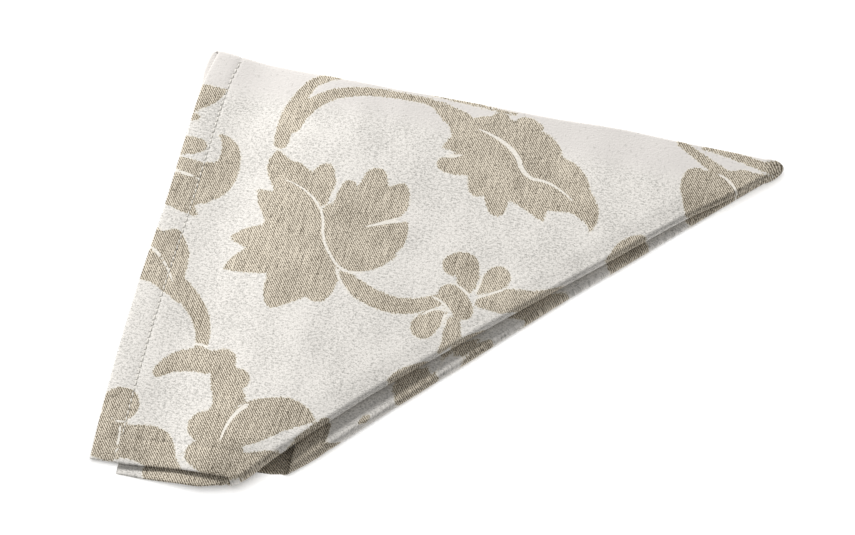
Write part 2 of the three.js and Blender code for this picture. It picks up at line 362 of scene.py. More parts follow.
def outward_of(points):
    """The direction out of the cloth's right side at each point."""
    around = np.roll(points, -1, axis=0) - np.roll(points, 1, axis=0)
    away = np.empty_like(points)
    away[:, 1:-1] = points[:, 2:] - points[:, :-2]
    away[:, 0] = points[:, 1] - points[:, 0]
    away[:, -1] = points[:, -1] - points[:, -2]
    out = np.cross(away, around)
    return out / np.linalg.norm(out, axis=-1, keepdims=True)


# The relief of a hem on the right side, and how far the cloth is rounded off at its edge.
HEM_PUFF = 0.00022
PUFF_FULL = (0.003, 0.009)  # the relief is full between these distances from the edge
STITCH_IN = 0.0128  # from the hem's edge to the stitches
STITCH_TROUGH = 0.00022
STITCH_SPREAD = 0.0009


def rounding(margin):
    """The share of the half thickness that is left near the hem's folded edge."""
    inside = np.clip(margin / EDGE_ROUND, 0, 1)
    return mix(EDGE_LEFT, 1.0, np.sqrt(1 - (1 - inside) ** 2))


def hem_relief(margin):
    puff = HEM_PUFF * smooth(margin, 0, PUFF_FULL[0]) * (1 - smooth(margin, PUFF_FULL[1], STITCH_IN))
    trough = STITCH_TROUGH * np.exp(-((margin - STITCH_IN) / STITCH_SPREAD) ** 2)
    return puff - trough


class Surface:
    """Points and faces gathered for one mesh."""

    def __init__(self):
        self.points = []
        self.faces = []
        self.count = 0

    def add_grid(self, grid, flip):
        """A closed band of columns, returned as the numbers of its points."""
        columns, rings = grid.shape[:2]
        numbers = self.count + np.arange(columns * rings).reshape(columns, rings)
        self.points.append(grid.reshape(-1, 3))
        self.count += columns * rings
        here, there = numbers[:, :-1], numbers[:, 1:]
        quads = np.stack([here, there, np.roll(there, -1, axis=0), np.roll(here, -1, axis=0)], -1)
        quads = quads.reshape(-1, 4)
        self.faces += (quads[:, ::-1] if flip else quads).tolist()
        return numbers

    def add_zip(self, first, first_order, second, second_order, closed):
        """Triangles between two rows of points whose orders rise together."""
        a, b = list(first), list(second)
        ka, kb = list(first_order), list(second_order)
        if closed:
            a.append(a[0])
            b.append(b[0])
            ka.append(ka[0] + TURN)
            kb.append(kb[0] + TURN)
        i = j = 0
        while i < len(a) - 1 or j < len(b) - 1:
            step_first = j == len(b) - 1 or (i < len(a) - 1 and ka[i + 1] <= kb[j + 1])
            if step_first:
                self.faces.append([a[i], b[j], a[i + 1]])
                i += 1
            else:
                self.faces.append([a[i], b[j], b[j + 1]])
                j += 1


# The nose: shares of the way towards its end at which it has rings.
NOSE_RINGS = (0.14, 0.28, 0.42, 0.56, 0.70, 0.82, 0.92, 0.98)
NOSE_BLUNT = (1.7, 0.62)  # powers that give the section's scale there
NOSE_FLAT_DOWN = 0.0045  # the place down the cloth that lies at its end


def nose_scale(ahead):
    return (1 - ahead ** NOSE_BLUNT[0]) ** NOSE_BLUNT[1]


cloth_surface = Surface()
right = section("right")
wrong = section("wrong")
right_middle, wrong_middle = points_of(right), points_of(wrong)
right_points = right_middle + outward_of(right_middle) * (
    THICK / 2 * rounding(right.margin) + hem_relief(right.margin))[..., None]
in_hem = 1 - smooth(wrong.margin, *HEM_END)
wrong_points = wrong_middle - outward_of(wrong_middle) * (
    (THICK / 2 + HEM_EXTRA * in_hem) * rounding(wrong.margin))[..., None]

# The nose closes the right side from its last ring outwards to one point.
nose_start = right_points[:, 0].mean(axis=0)
nose_end = np.array([NOSE_END[0] - PLAN_MIDDLE[0], PLAN_MIDDLE[1] - NOSE_END[1], NOSE_END[2]])
nose_rings = [
    (right_points[:, 0] - nose_start) * nose_scale(ahead) + mix(nose_start, nose_end, ahead)
    for ahead in reversed(NOSE_RINGS)
]
right_grid = np.concatenate([np.stack(nose_rings, axis=1), right_points], axis=1)
right_numbers = cloth_surface.add_grid(right_grid, flip=False)
wrong_numbers = cloth_surface.add_grid(wrong_points, flip=True)
nose_tip = cloth_surface.count
cloth_surface.points.append(nose_end[None])
cloth_surface.count += 1
for column in range(len(right_numbers)):
    after = (column + 1) % len(right_numbers)
    cloth_surface.faces.append(
        [nose_tip, int(right_numbers[column, 0]), int(right_numbers[after, 0])])
cloth_surface.add_zip(right_numbers[:, -1].tolist(), right.order,
                      wrong_numbers[:, -1].tolist(), wrong.order, closed=True)

# Inside the half fold, a strip joins the front half's columns to the back half's facing ones.
# The front half starts halfway round the half fold's bend and ends with its fourth layer.
FOLD_ORDER = TURN - 0.5
HALF_END = TURN / 2 - 0.5
ORDER_SLACK = 0.001
round_order = (wrong.order - FOLD_ORDER) % TURN
in_front = round_order <= HALF_END + ORDER_SLACK
front_half = np.where(in_front)[0]
front_half = front_half[np.argsort(round_order[front_half])]
back_half = np.where(~in_front)[0]
back_half = back_half[np.argsort(-round_order[back_half])]
cloth_surface.add_zip(
    wrong_numbers[back_half, 0].tolist(), TURN - round_order[back_half],
    wrong_numbers[front_half, 0].tolist(), round_order[front_half], closed=False)


# The woven design: tapered strokes through a start, a middle and an end, with the half width at
# each, fitted to the edges of the photographed figures. Places are on the cloth, across and down.
Stroke = namedtuple("Stroke", "start middle end widths")


def strokes(rows):
    """Strokes from rows of three places and three half widths."""
    return [Stroke(row[0:2], row[2:4], row[4:6], row[6:9]) for row in rows]


FIGURES = strokes([
    # the scroll at the side hem
    (-0.004, 0.0275, 0.003, 0.0250, 0.0108, 0.0205, 0.0080, 0.0058, 0.0010),
    (-0.004, 0.0385, 0.000, 0.0385, 0.0018, 0.0395, 0.0025, 0.002, 0.0008),
    (-0.004, 0.055, 0.002, 0.0545, 0.0065, 0.0535, 0.005, 0.005, 0.0036),
    (0.014, 0.045, 0.0215, 0.0515, 0.023, 0.062, 0.0006, 0.0042, 0.006),
    (0.023, 0.062, 0.0200, 0.0725, 0.010, 0.079, 0.006, 0.0072, 0.006),
    (0.022, 0.0645, 0.010, 0.0660, -0.004, 0.0655, 0.005, 0.0038, 0.0042),
    (0.014, 0.078, 0.005, 0.0775, -0.004, 0.077, 0.007, 0.006, 0.006),
    (-0.004, 0.0705, 0.005, 0.0705, 0.015, 0.0705, 0.002, 0.002, 0.002),
    (0.000, 0.084, 0.008, 0.0870, 0.016, 0.092, 0.005, 0.0042, 0.0005),
    # the leaf and stem below it
    (0.0075, 0.1055, 0.0115, 0.114, 0.0152, 0.128, 0.0045, 0.0062, 0.0038),
    (-0.004, 0.1045, -0.001, 0.107, 0.004, 0.112, 0.0035, 0.004, 0.005),
    (-0.004, 0.122, 0.006, 0.126, 0.020, 0.134, 0.009, 0.0062, 0.005),
    (0.018, 0.131, 0.031, 0.143, 0.0365, 0.157, 0.005, 0.0044, 0.0032),
    # the curled leaf at the low hem
    (0.020, 0.176, 0.029, 0.1685, 0.042, 0.167, 0.003, 0.0056, 0.0062),
    (0.033, 0.1642, 0.038, 0.1636, 0.043, 0.1645, 0.003, 0.0036, 0.003),
    (0.037, 0.1665, 0.044, 0.1665, 0.0492, 0.1655, 0.0056, 0.0058, 0.0065),
    (0.0490, 0.1655, 0.0515, 0.172, 0.054, 0.178, 0.0060, 0.0062, 0.007),
    (0.055, 0.174, 0.0575, 0.1740, 0.0590, 0.174, 0.005, 0.0054, 0.0057),
    (0.055, 0.180, 0.0560, 0.188, 0.0545, 0.196, 0.0070, 0.0058, 0.0057),
    (0.057, 0.183, 0.0595, 0.183, 0.0605, 0.1832, 0.0046, 0.0046, 0.0045),
    (0.0495, 0.200, 0.0505, 0.200, 0.0515, 0.200, 0.008, 0.008, 0.008),
    (0.063, 0.2015, 0.072, 0.1925, 0.085, 0.187, 0.0055, 0.0098, 0.0084),
    (0.084, 0.187, 0.092, 0.186, 0.1, 0.1873, 0.0084, 0.0055, 0.0006),
    (0.065, 0.2045, 0.073, 0.1995, 0.082, 0.194, 0.0045, 0.0056, 0.0045),
    (0.054, 0.204, 0.060, 0.208, 0.066, 0.212, 0.006, 0.007, 0.006),
    (0.0065, 0.1965, 0.007, 0.1965, 0.0075, 0.1965, 0.0086, 0.0086, 0.0086),
    (0.001, 0.206, 0.006, 0.206, 0.0105, 0.207, 0.003, 0.0034, 0.003),
    (-0.003, 0.215, 0.003, 0.2155, 0.008, 0.217, 0.010, 0.0095, 0.009),
    (0.0135, 0.213, 0.0160, 0.213, 0.0200, 0.213, 0.0065, 0.0072, 0.008),
    (0.020, 0.214, 0.028, 0.214, 0.035, 0.220, 0.009, 0.0095, 0.006),
    (0.024, 0.217, 0.036, 0.222, 0.042, 0.226, 0.006, 0.006, 0.003),
    (0.0512, 0.2140, 0.058, 0.2160, 0.066, 0.217, 0.0070, 0.008, 0.006),
    (0.060, 0.205, 0.0625, 0.212, 0.064, 0.219, 0.0065, 0.0075, 0.006),
    (0.062, 0.2215, 0.074, 0.2145, 0.087, 0.2085, 0.005, 0.005, 0.003),
    # the two stems at the top fold
    (0.046, 0.044, 0.0465, 0.027, 0.052, 0.011, 0.0038, 0.0044, 0.0032),
    (0.052, 0.011, 0.057, 0.0065, 0.066, 0.004, 0.0032, 0.0024, 0.0006),
    (0.0495, 0.034, 0.055, 0.022, 0.066, 0.013, 0.0042, 0.004, 0.003),
    (0.066, 0.013, 0.084, 0.0085, 0.106, 0.0073, 0.003, 0.0022, 0.0017),
    (0.106, 0.0073, 0.115, 0.008, 0.124, 0.012, 0.0017, 0.0020, 0.0048),
    # the large leaf, its left half
    (0.046, 0.0495, 0.049, 0.058, 0.058, 0.068, 0.001, 0.0064, 0.008),
    (0.072, 0.0565, 0.0715, 0.063, 0.073, 0.072, 0.0042, 0.0072, 0.0045),
    (0.056, 0.0605, 0.062, 0.066, 0.070, 0.074, 0.0065, 0.008, 0.005),
    (0.079, 0.0765, 0.080, 0.082, 0.082, 0.088, 0.0026, 0.0036, 0.004),
    (0.060, 0.072, 0.065, 0.092, 0.072, 0.110, 0.011, 0.0155, 0.016),
    (0.0415, 0.0723, 0.048, 0.077, 0.056, 0.084, 0.0004, 0.005, 0.008),
    (0.035, 0.100, 0.044, 0.0985, 0.056, 0.098, 0.0006, 0.0055, 0.009),
    (0.0363, 0.117, 0.044, 0.1125, 0.056, 0.108, 0.0004, 0.0055, 0.009),
    (0.064, 0.1336, 0.066, 0.126, 0.072, 0.114, 0.0004, 0.007, 0.0135),
    (0.084, 0.120, 0.080, 0.112, 0.072, 0.104, 0.0068, 0.012, 0.014),
    # the large leaf, its right half
    (0.0855, 0.0630, 0.086, 0.074, 0.088, 0.088, 0.0038, 0.006, 0.008),
    (0.097, 0.0555, 0.0965, 0.068, 0.093, 0.084, 0.0058, 0.0085, 0.010),
    (0.111, 0.0575, 0.1075, 0.0665, 0.099, 0.080, 0.0024, 0.0085, 0.009),
    (0.1170, 0.076, 0.111, 0.0855, 0.100, 0.092, 0.0012, 0.008, 0.012),
    (0.1165, 0.094, 0.110, 0.0955, 0.101, 0.096, 0.0004, 0.0045, 0.0105),
    (0.084, 0.082, 0.090, 0.0945, 0.099, 0.0965, 0.004, 0.0082, 0.0104),
    # the stem to the small flower
    (0.095, 0.110, 0.103, 0.1155, 0.114, 0.1190, 0.0028, 0.0046, 0.0046),
    (0.114, 0.119, 0.127, 0.1190, 0.141, 0.1125, 0.0046, 0.0042, 0.0032),
    # the small flower
    (0.145, 0.092, 0.150, 0.091, 0.153, 0.097, 0.0058, 0.0066, 0.005),
    (0.152, 0.094, 0.153, 0.100, 0.155, 0.104, 0.0055, 0.0045, 0.0014),
    (0.167, 0.0938, 0.164, 0.0975, 0.1595, 0.104, 0.0061, 0.0052, 0.001),
    (0.162, 0.1085, 0.171, 0.1055, 0.183, 0.1035, 0.003, 0.0062, 0.0066),
    (0.184, 0.103, 0.192, 0.099, 0.200, 0.0935, 0.006, 0.0048, 0.0022),
    (0.146, 0.1077, 0.150, 0.1103, 0.1545, 0.1147, 0.0052, 0.0062, 0.005),
    (0.138, 0.1275, 0.141, 0.123, 0.1468, 0.1168, 0.0062, 0.0056, 0.001),
    (0.151, 0.121, 0.1520, 0.128, 0.1495, 0.138, 0.0028, 0.0044, 0.002),
    # pieces of other leaves at the slanting fold
    (0.157, 0.134, 0.162, 0.130, 0.169, 0.1253, 0.003, 0.0036, 0.002),
    (0.131, 0.1575, 0.137, 0.1532, 0.144, 0.1485, 0.003, 0.0046, 0.003),
    (0.134, 0.162, 0.140, 0.1555, 0.146, 0.1485, 0.0035, 0.005, 0.003),
    (0.120, 0.180, 0.121, 0.1785, 0.123, 0.177, 0.0014, 0.0018, 0.0014),
    (0.096, 0.206, 0.1, 0.198, 0.105, 0.187, 0.0065, 0.006, 0.003),
    (0.2185, 0.0722, 0.2235, 0.0645, 0.2295, 0.0597, 0.0026, 0.0048, 0.0046),
    # the flower at the tip
    (0.249, 0.0185, 0.2485, 0.025, 0.2505, 0.038, 0.0058, 0.0056, 0.0028),
    (0.2565, 0.0195, 0.2585, 0.025, 0.2575, 0.034, 0.0063, 0.0078, 0.006),
    (0.261, 0.020, 0.266, 0.021, 0.270, 0.019, 0.006, 0.006, 0.005),
    (0.250, 0.0155, 0.254, 0.0160, 0.258, 0.0150, 0.003, 0.003, 0.003),
    (0.264, 0.0145, 0.272, 0.0138, 0.284, 0.0100, 0.004, 0.0058, 0.0022),
    (0.238, 0.0010, 0.248, 0.0060, 0.262, 0.0128, 0.0016, 0.0024, 0.0030),
    (0.250, 0.0010, 0.268, 0.0020, 0.2900, 0.0060, 0.001, 0.0021, 0.0028),
    # a pale leaf's brown edge on the top fold
    (0.112, 0.0028, 0.130, 0.0034, 0.156, 0.0042, 0.0007, 0.0009, 0.0007),
    # the long leaf, along its upper side
    (0.120, 0.0088, 0.130, 0.0148, 0.136, 0.024, 0.0015, 0.0062, 0.008),
    (0.142, 0.0172, 0.152, 0.0165, 0.162, 0.020, 0.0082, 0.0090, 0.010),
    (0.149, 0.0090, 0.1495, 0.0092, 0.150, 0.0100, 0.0044, 0.0044, 0.0044),
    (0.1610, 0.0088, 0.1635, 0.0088, 0.168, 0.0092, 0.0042, 0.0044, 0.0028),
    (0.162, 0.020, 0.172, 0.0215, 0.1755, 0.030, 0.010, 0.0095, 0.009),
    (0.176, 0.030, 0.1862, 0.0325, 0.192, 0.038, 0.008, 0.0088, 0.008),
    # the long leaf, along its lower side
    (0.1255, 0.0305, 0.131, 0.027, 0.138, 0.024, 0.0008, 0.0046, 0.008),
    (0.1275, 0.0396, 0.1335, 0.0382, 0.142, 0.034, 0.0036, 0.006, 0.008),
    (0.1465, 0.0495, 0.146, 0.042, 0.146, 0.030, 0.004, 0.0058, 0.010),
    (0.158, 0.0573, 0.156, 0.048, 0.153, 0.034, 0.0044, 0.0068, 0.010),
    (0.181, 0.059, 0.1755, 0.0508, 0.164, 0.040, 0.0006, 0.0055, 0.011),
    (0.2047, 0.0593, 0.2022, 0.0500, 0.192, 0.042, 0.0005, 0.0050, 0.0090),
    (0.192, 0.042, 0.178, 0.0435, 0.165, 0.042, 0.0095, 0.0095, 0.010),
])

# The pale veins and gaps that cross the figures.
VEINS = strokes([
    (-0.003, 0.1130, 0.005, 0.1178, 0.0138, 0.129, 0.0009, 0.0008, 0.0003),
    (-0.004, 0.0695, 0.004, 0.0703, 0.0108, 0.0716, 0.0013, 0.0009, 0.0003),
    (0.042, 0.0470, 0.0455, 0.0482, 0.049, 0.0488, 0.0006, 0.0007, 0.0006),
    (0.0535, 0.0645, 0.070, 0.0725, 0.078, 0.085, 0.0002, 0.0006, 0.0007),
    (0.078, 0.085, 0.0815, 0.0955, 0.090, 0.1055, 0.0007, 0.0007, 0.0007),
    (0.090, 0.1055, 0.0962, 0.1078, 0.104, 0.1062, 0.0007, 0.0007, 0.0007),
    (0.098, 0.0825, 0.106, 0.0785, 0.1170, 0.0730, 0.0002, 0.0009, 0.0016),
    (0.140, 0.0165, 0.154, 0.0213, 0.163, 0.029, 0.0003, 0.0010, 0.0013),
    (0.163, 0.029, 0.1663, 0.0345, 0.172, 0.0377, 0.0013, 0.0012, 0.0008),
    (0.172, 0.0377, 0.182, 0.0388, 0.193, 0.045, 0.0008, 0.0006, 0.0003),
    (0.1245, 0.0335, 0.129, 0.0346, 0.135, 0.0325, 0.0016, 0.0012, 0.0004),
    (0.147, 0.1015, 0.153, 0.1045, 0.159, 0.1090, 0.0005, 0.0007, 0.0006),
    (0.158, 0.106, 0.1592, 0.098, 0.1592, 0.088, 0.0004, 0.0006, 0.0008),
    (0.171, 0.0995, 0.1645, 0.1035, 0.158, 0.1080, 0.0006, 0.0006, 0.0004),
    (0.1385, 0.1110, 0.145, 0.1135, 0.1505, 0.1190, 0.0005, 0.0006, 0.0005),
    (0.150, 0.1185, 0.1425, 0.1168, 0.136, 0.1215, 0.0005, 0.0006, 0.0005),
    (0.1475, 0.133, 0.1465, 0.1255, 0.1465, 0.1185, 0.0008, 0.0007, 0.0006),
    (0.0305, 0.1592, 0.0365, 0.1585, 0.042, 0.1605, 0.0006, 0.0007, 0.0006),
    (0.0592, 0.206, 0.0612, 0.1945, 0.0668, 0.1862, 0.0004, 0.0008, 0.0012),
    (0.004, 0.2040, 0.0083, 0.2056, 0.0130, 0.2042, 0.0003, 0.0006, 0.0004),
    (0.2595, 0.0135, 0.2655, 0.0160, 0.2705, 0.0215, 0.0004, 0.0007, 0.0005),
])

# Veins that branch off from those ones.
BRANCHES = strokes([
    (0.090, 0.1070, 0.094, 0.1140, 0.100, 0.1195, 0.0006, 0.0009, 0.0010),
    (0.0102, 0.2075, 0.0114, 0.2150, 0.0128, 0.2260, 0.0005, 0.0006, 0.0006),
])

# The design on the hems that are turned over to the wrong side.
TURNED_FIGURES = strokes([
    (0.033, 0.226, 0.048, 0.226, 0.066, 0.222, 0.0068, 0.008, 0.008),
    (0.074, 0.2125, 0.086, 0.210, 0.098, 0.204, 0.007, 0.008, 0.008),
    (-0.006, 0.219, 0.000, 0.220, 0.006, 0.221, 0.0065, 0.0065, 0.006),
])

SPINE_PARTS = 8  # straight parts that a stroke's spine is worked out in
VEIN_REACH = 0.0022  # how far from a vein its edges are worked out
NO_VEIN = 0.003
FIGURE_REACH = 0.015  # how far from a figure its distance is worked out
TIP_FIGURE = 0.01  # the very tip has the ground's colour


def spine(stroke):
    """A stroke's spine as a smooth curve through its three places, and the half widths on it."""
    t = np.linspace(0, 1, SPINE_PARTS + 1)[:, None]
    start, middle, end = (np.array(place) for place in (stroke.start, stroke.middle, stroke.end))
    bend = 2 * middle - (start + end) / 2
    places = start * (1 - t) ** 2 + bend * 2 * t * (1 - t) + end * t * t
    widths = np.interp(t[:, 0], (0, 0.5, 1), stroke.widths)
    return places, widths


def near_spine(stroke, across, down):
    """Distance from a stroke's spine, which side of it, the half width and how far past an end."""
    places, widths = spine(stroke)
    best = np.full(across.shape, np.inf)
    side = np.ones(across.shape)
    width = np.zeros(across.shape)
    beyond = np.zeros(across.shape)
    for part in range(SPINE_PARTS):
        a, b = places[part], places[part + 1]
        run = b - a
        length = np.hypot(*run)
        x, y = across - a[0], down - a[1]
        along = (x * run[0] + y * run[1]) / length
        t = np.clip(along / length, 0, 1)
        far = np.hypot(x - t * run[0], y - t * run[1])
        here_width = mix(widths[part], widths[part + 1], t)
        closer = far - here_width < best - width
        past = np.zeros(across.shape)
        if part == 0:
            past = np.maximum(past, -along)
        if part == SPINE_PARTS - 1:
            past = np.maximum(past, along - length)
        best = np.where(closer, far, best)
        width = np.where(closer, here_width, width)
        side = np.where(closer, np.sign(run[0] * y - run[1] * x), side)
        beyond = np.where(closer, past, beyond)
    return best, side, width, beyond


def close_to(stroke, across, down, reach):
    """Which places are in a box round a stroke."""
    reach = reach + max(stroke.widths)
    xs, ys = zip(stroke.start, stroke.middle, stroke.end)
    return ((across > min(xs) - reach) & (across < max(xs) + reach)
            & (down > min(ys) - reach) & (down < max(ys) + reach))


def figure_distance(table, across, down):
    """The distance outside a table's strokes, less than nothing inside them."""
    distance = np.full(across.shape, FIGURE_REACH)
    for stroke in table:
        near = close_to(stroke, across, down, FIGURE_REACH)
        far, _, width, _ = near_spine(stroke, across[near], down[near])
        distance[near] = np.minimum(distance[near], far - width)
    return distance


def vein_edges(table, across, down):
    """Distances past the left and the right edge of the nearest vein, both less than nothing
    only inside it. Each is even from point to point, so that a vein thinner than the mesh's
    faces stays whole."""
    nearest = np.full(across.shape, FAR)
    left = np.full(across.shape, NO_VEIN)
    right_edge = np.full(across.shape, NO_VEIN)
    for stroke in table:
        near = close_to(stroke, across, down, VEIN_REACH)
        far, side, width, beyond = near_spine(stroke, across[near], down[near])
        closer = (far < VEIN_REACH) & (far - width < nearest[near])
        nearest[near] = np.where(closer, far - width, nearest[near])
        width = width - beyond
        left[near] = np.where(closer, side * far - width, left[near])
        right_edge[near] = np.where(closer, -side * far - width, right_edge[near])
    return left, right_edge


def with_nose(ring_values, tip_value):
    """The right side's values with those of the nose's rings before them."""
    ahead = np.array(NOSE_RINGS[::-1])
    head = mix(ring_values[:, :1], tip_value, ahead)
    return np.concatenate([head, ring_values], axis=1)


def per_point(right_value, wrong_value, tip_value):
    return np.concatenate([right_value.ravel(), wrong_value.ravel(), [tip_value]])


right_across = with_nose(right.flat_across, TIP_ACROSS)
right_down = with_nose(right.flat_down, NOSE_FLAT_DOWN)
right_margin = with_nose(right.margin, DEEP_INSIDE)
right_figure = figure_distance(FIGURES, right_across, right_down)
right_along = with_nose(right.along, 0.0)
wrong_figure = -figure_distance(FIGURES, wrong.flat_across, wrong.flat_down)
turned = figure_distance(TURNED_FIGURES, wrong.across, wrong.down)
wrong_figure = np.where(wrong.margin < HEM_WIDTH, turned, wrong_figure)
no_vein = np.full(wrong.across.shape, NO_VEIN)


def add_object(name, points, faces, rounded):
    """A mesh in the scene, shaded as rounded or as flat."""
    mesh = bpy.data.meshes.new(name)
    mesh.from_pydata(points, [], faces)
    mesh.update()
    mesh.polygons.foreach_set("use_smooth", np.full(len(mesh.polygons), rounded))
    thing = bpy.data.objects.new(name, mesh)
    bpy.context.collection.objects.link(thing)
    return thing


cloth = add_object("napkin_cloth", np.concatenate(cloth_surface.points).tolist(),
                   cloth_surface.faces, rounded=True)


def point_value(name, values):
    cloth.data.attributes.new(name, "FLOAT", "POINT").data.foreach_set(
        "value", np.asarray(values, dtype=np.float32))


point_value("figure", per_point(right_figure, wrong_figure, TIP_FIGURE))
for vein_name, vein_table in (("vein", VEINS), ("branch", BRANCHES)):
    left_edge, right_edge = vein_edges(vein_table, right_across, right_down)
    point_value(vein_name + "_left", per_point(left_edge, no_vein, NO_VEIN))
    point_value(vein_name + "_right", per_point(right_edge, no_vein, NO_VEIN))
point_value("margin", per_point(right_margin, wrong.margin, DEEP_INSIDE))
point_value("along", per_point(right_along, wrong.along, 0.0))
flat_vector = np.stack([
    per_point(right_across, wrong.flat_across, TIP_ACROSS),
    per_point(right_down, wrong.flat_down, NOSE_FLAT_DOWN),
    np.zeros(len(cloth.data.vertices))], axis=-1)
cloth.data.attributes.new("on_cloth", "FLOAT_VECTOR", "POINT").data.foreach_set(
    "vector", flat_vector.astype(np.float32).ravel())

# The stitches of the top layer's side hem, as short threads half sunk in the cloth
STITCH_PITCH = 0.0032
FIRST_STITCH = 1.5  # its middle, in pitches from the seam's start
STITCH_RUN = 0.3  # a stitch's direction is taken over this much of a pitch each way
STITCH_HALF = 0.00112  # half of a thread's length between its two needle holes
THREAD = 0.00029  # the thread's radius
THREAD_RISE = 0.00011  # of its middle over the seam's trough
THREAD_TURN = math.radians(14)  # each stitch lies askew of the seam
THREAD_SIDES = 6
# Each ring of a thread: place along it, radius and height, the last two in thread radii.
THREAD_RINGS = ((-1.0, 0.0, -1.3), (-0.92, 0.6, -0.5), (-0.7, 0.95, 0.1), (-0.25, 1.05, 0.35),
                (0.25, 1.05, 0.35), (0.7, 0.95, 0.1), (0.92, 0.6, -0.5), (1.0, 0.0, -1.3))


def seam_line():
    """The top layer's seam along the side hem, in the frame's axes, and the places down it."""
    columns = LAYERS[0].right
    ring = LONG_RINGS + HEM_RINGS.index(STITCH_IN)
    place = right.along[:columns, ring]
    on_side = place < LOW_HEM_START / 2
    return place[on_side], right_points[:columns, ring][on_side]


def thread_surface(surface, middle, run):
    """Adds one stitch round a middle, run being its unit direction."""
    up = np.array([0.0, 0.0, 1.0])
    aside = np.cross(run, up)
    run = run * math.cos(THREAD_TURN) - aside * math.sin(THREAD_TURN)
    aside = np.cross(run, up)
    rings = []
    for along, radius, height in THREAD_RINGS:
        centre = middle + run * along * STITCH_HALF + up * (height * THREAD + THREAD_RISE)
        turns = np.arange(THREAD_SIDES) * 2 * math.pi / THREAD_SIDES
        rings.append([centre + (aside * math.cos(t) + up * math.sin(t)) * radius * THREAD
                      for t in turns] if radius else [centre])
    numbers = []
    for ring in rings:
        numbers.append(list(range(surface.count, surface.count + len(ring))))
        surface.points.append(np.array(ring))
        surface.count += len(ring)
    for low_ring, high_ring in zip(numbers, numbers[1:]):
        for side in range(THREAD_SIDES):
            after = (side + 1) % THREAD_SIDES
            face = [low_ring[side % len(low_ring)], low_ring[after % len(low_ring)],
                    high_ring[after % len(high_ring)], high_ring[side % len(high_ring)]]
            surface.faces.append(list(dict.fromkeys(face)))


thread_points = Surface()
seam_places, seam = seam_line()
stitch = FIRST_STITCH
while (stitch + 0.5) * STITCH_PITCH < seam_places[-1]:
    before, middle, after = (
        np.array([np.interp(at * STITCH_PITCH, seam_places, seam[:, axis]) for axis in range(3)])
        for at in (stitch - STITCH_RUN, stitch, stitch + STITCH_RUN))
    run = after - before
    thread_surface(thread_points, middle, run / np.linalg.norm(run))
    stitch += 1
stitches = add_object("napkin_stitches", np.concatenate(thread_points.points).tolist(),
                      thread_points.faces, rounded=True)


# Materials
class Value:
    """A shader socket that sums can be written with."""

    def __init__(self, paint, socket):
        self.paint = paint
        self.socket = socket

    def maths(self, operation, *others):
        return self.paint.node("ShaderNodeMath", {"operation": operation},
                               {i: value for i, value in enumerate((self, *others))})

    def __add__(self, other):
        return self.maths("ADD", other)

    def __sub__(self, other):
        return self.maths("SUBTRACT", other)

    def __mul__(self, other):
        return self.maths("MULTIPLY", other)

    def __rsub__(self, other):
        return self.paint.node("ShaderNodeMath", {"operation": "SUBTRACT"}, {0: other, 1: self})

    __radd__ = __add__
    __rmul__ = __mul__

    def larger(self, other):
        return self.maths("MAXIMUM", other)

    def sine(self):
        return self.maths("SINE")

    def size(self):
        return self.maths("ABSOLUTE")

    def between(self, low, high):
        """0 below low and 1 above high, with a soft step between."""
        return self.paint.node(
            "ShaderNodeMapRange", {"interpolation_type": "SMOOTHSTEP"},
            {"Value": self, "From Min": low, "From Max": high})


class Paint:
    """The nodes of one material."""

    def __init__(self, name):
        self.material = bpy.data.materials.new(name)
        self.material.use_nodes = True
        self.tree = self.material.node_tree
        self.shader = self.tree.nodes["Principled BSDF"]

    def node(self, kind, settings=None, inputs=None, output=0):
        """A node with its settings made first and then its sockets; returns one output."""
        node = self.tree.nodes.new(kind)
        for name, value in (settings or {}).items():
            setattr(node, name, value)
        for name, value in (inputs or {}).items():
            self.feed(node.inputs[name], value)
        return Value(self, node.outputs[output])

    def feed(self, socket, value):
        if isinstance(value, Value):
            self.tree.links.new(value.socket, socket)
        else:
            socket.default_value = value

    def colour(self, factor, first, second):
        """The first colour turning into the second as the factor rises."""
        return self.node("ShaderNodeMix", {"data_type": "RGBA"},
                         {0: factor, 6: first, 7: second}, output=2)

    def attribute(self, name, output="Fac"):
        return self.node("ShaderNodeAttribute", {"attribute_name": name}, output=output)

    def stretched(self, vector, across, down):
        """A vector in metres scaled to repeat over sizes across and down."""
        return self.node("ShaderNodeVectorMath", {"operation": "MULTIPLY"},
                         {0: vector, 1: (1 / across, 1 / down, 1.0)})

    def noise(self, vector, detail=2.0, rough=0.5):
        return self.node("ShaderNodeTexNoise", {"noise_dimensions": "2D"},
                         {"Vector": vector, "Scale": 1.0, "Detail": detail, "Roughness": rough})

    def bump(self, height, distance, strength):
        return self.node("ShaderNodeBump", None,
                         {"Height": height, "Distance": distance, "Strength": strength})

    def set(self, **sockets):
        for name, value in sockets.items():
            self.feed(self.shader.inputs[name.replace("_", " ")], value)


WHITE_LIGHT = (0.79, 0.76, 0.715, 1)
WHITE_SHADE = (0.36, 0.35, 0.325, 1)
WHITE_CALM = (0.655, 0.622, 0.597, 1)
BROWN_LIGHT = (0.84, 0.755, 0.62, 1)
BROWN_SHADE = (0.10, 0.077, 0.047, 1)
RIM_LIGHT = (0.84, 0.79, 0.69, 1)
RIM_SHADE = (0.30, 0.26, 0.175, 1)
SLUB_DARK = (0.07, 0.055, 0.035, 1)
# the painted shade inside the needle holes
NEEDLE_HOLE_SHADE = (0.13, 0.12, 0.10, 1)
THREAD_LIGHT = (0.88, 0.86, 0.81, 1)
THREAD_SHADE = (0.60, 0.57, 0.51, 1)

